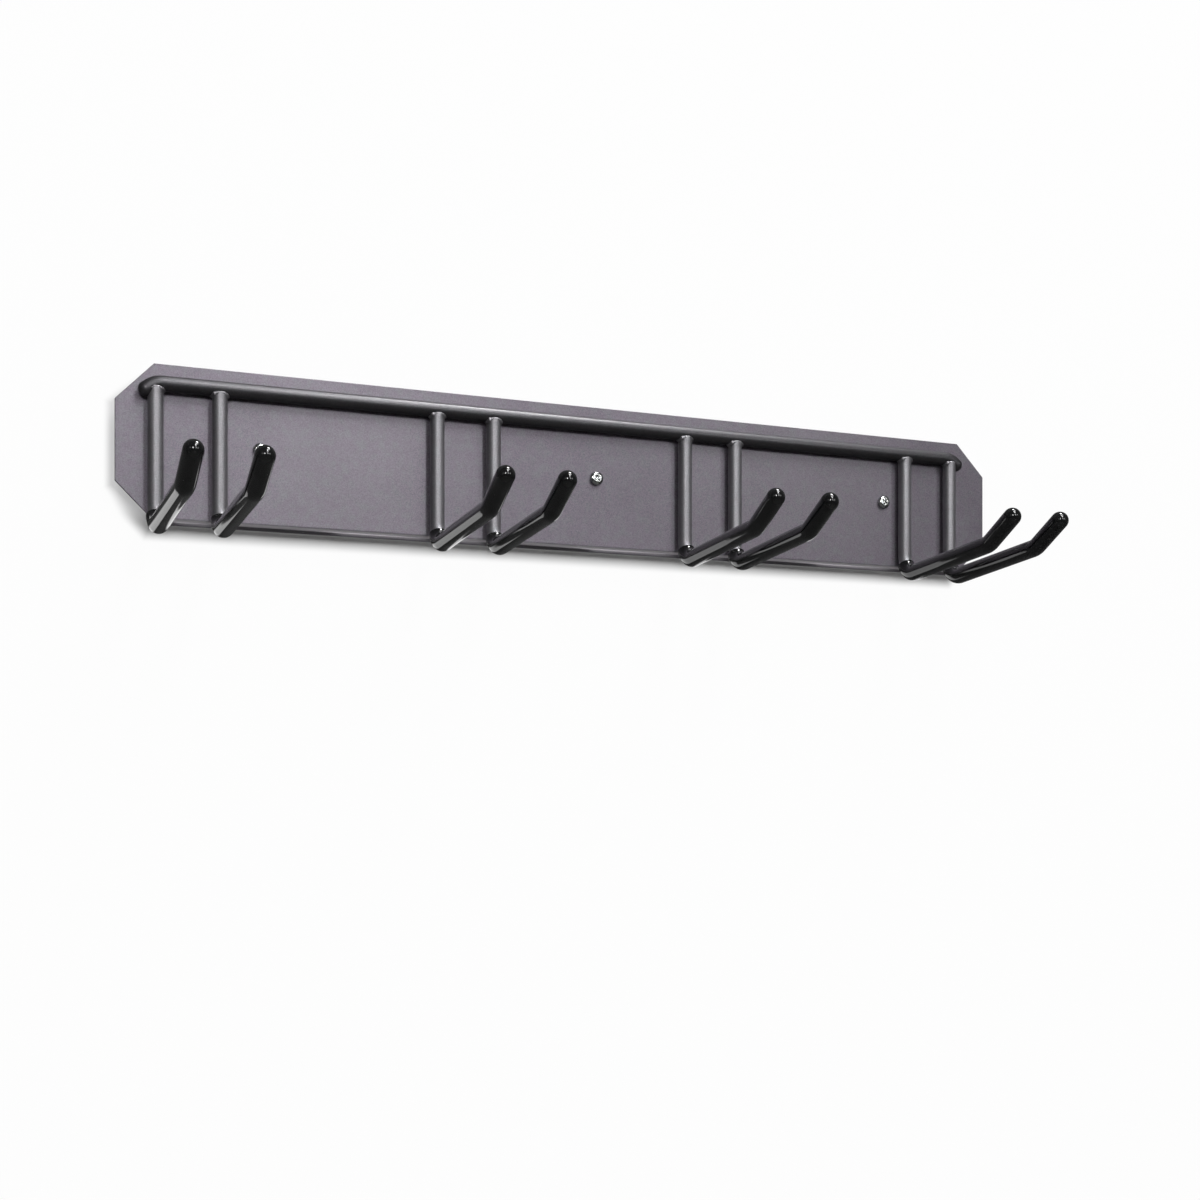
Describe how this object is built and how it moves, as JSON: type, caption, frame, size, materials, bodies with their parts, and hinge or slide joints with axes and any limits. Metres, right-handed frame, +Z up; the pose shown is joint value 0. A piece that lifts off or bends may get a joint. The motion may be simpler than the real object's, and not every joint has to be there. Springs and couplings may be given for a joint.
{
  "type": "ski wall rack",
  "caption": "Folded steel wall rail with clipped corners and a welded bar, carrying pairs of bent round arms in glossy sleeves that hold skis upright by their tips.",
  "frame": {"origin": "the middle of the rail's back, on the wall plane", "axes": "+X along the rail to the right as seen from the room, +Y into the wall, +Z up"},
  "size_m": [0.668, 0.1954, 0.1124],
  "materials": {
    "grey_powder_coat": "dark grey powder coat with a faint violet metallic sheen, satin",
    "black_vinyl": "glossy black soft vinyl",
    "zinc_plate": "bright zinc plate"
  },
  "bodies": {
    "root": {"back_rail": "grey_powder_coat", "top_bar": "grey_powder_coat", "arm_rod_1_left": "grey_powder_coat", "arm_rod_1_right": "grey_powder_coat", "arm_rod_2_left": "grey_powder_coat", "arm_rod_2_right": "grey_powder_coat", "arm_rod_3_left": "grey_powder_coat", "arm_rod_3_right": "grey_powder_coat", "arm_rod_4_left": "grey_powder_coat", "arm_rod_4_right": "grey_powder_coat", "sleeve_1_left": "black_vinyl", "sleeve_1_right": "black_vinyl", "sleeve_2_left": "black_vinyl", "sleeve_2_right": "black_vinyl", "sleeve_3_left": "black_vinyl", "sleeve_3_right": "black_vinyl", "sleeve_4_left": "black_vinyl", "sleeve_4_right": "black_vinyl", "wall_screw_1": "zinc_plate", "wall_screw_2": "zinc_plate", "wall_screw_3": "zinc_plate"}
  },
  "joints": []
}
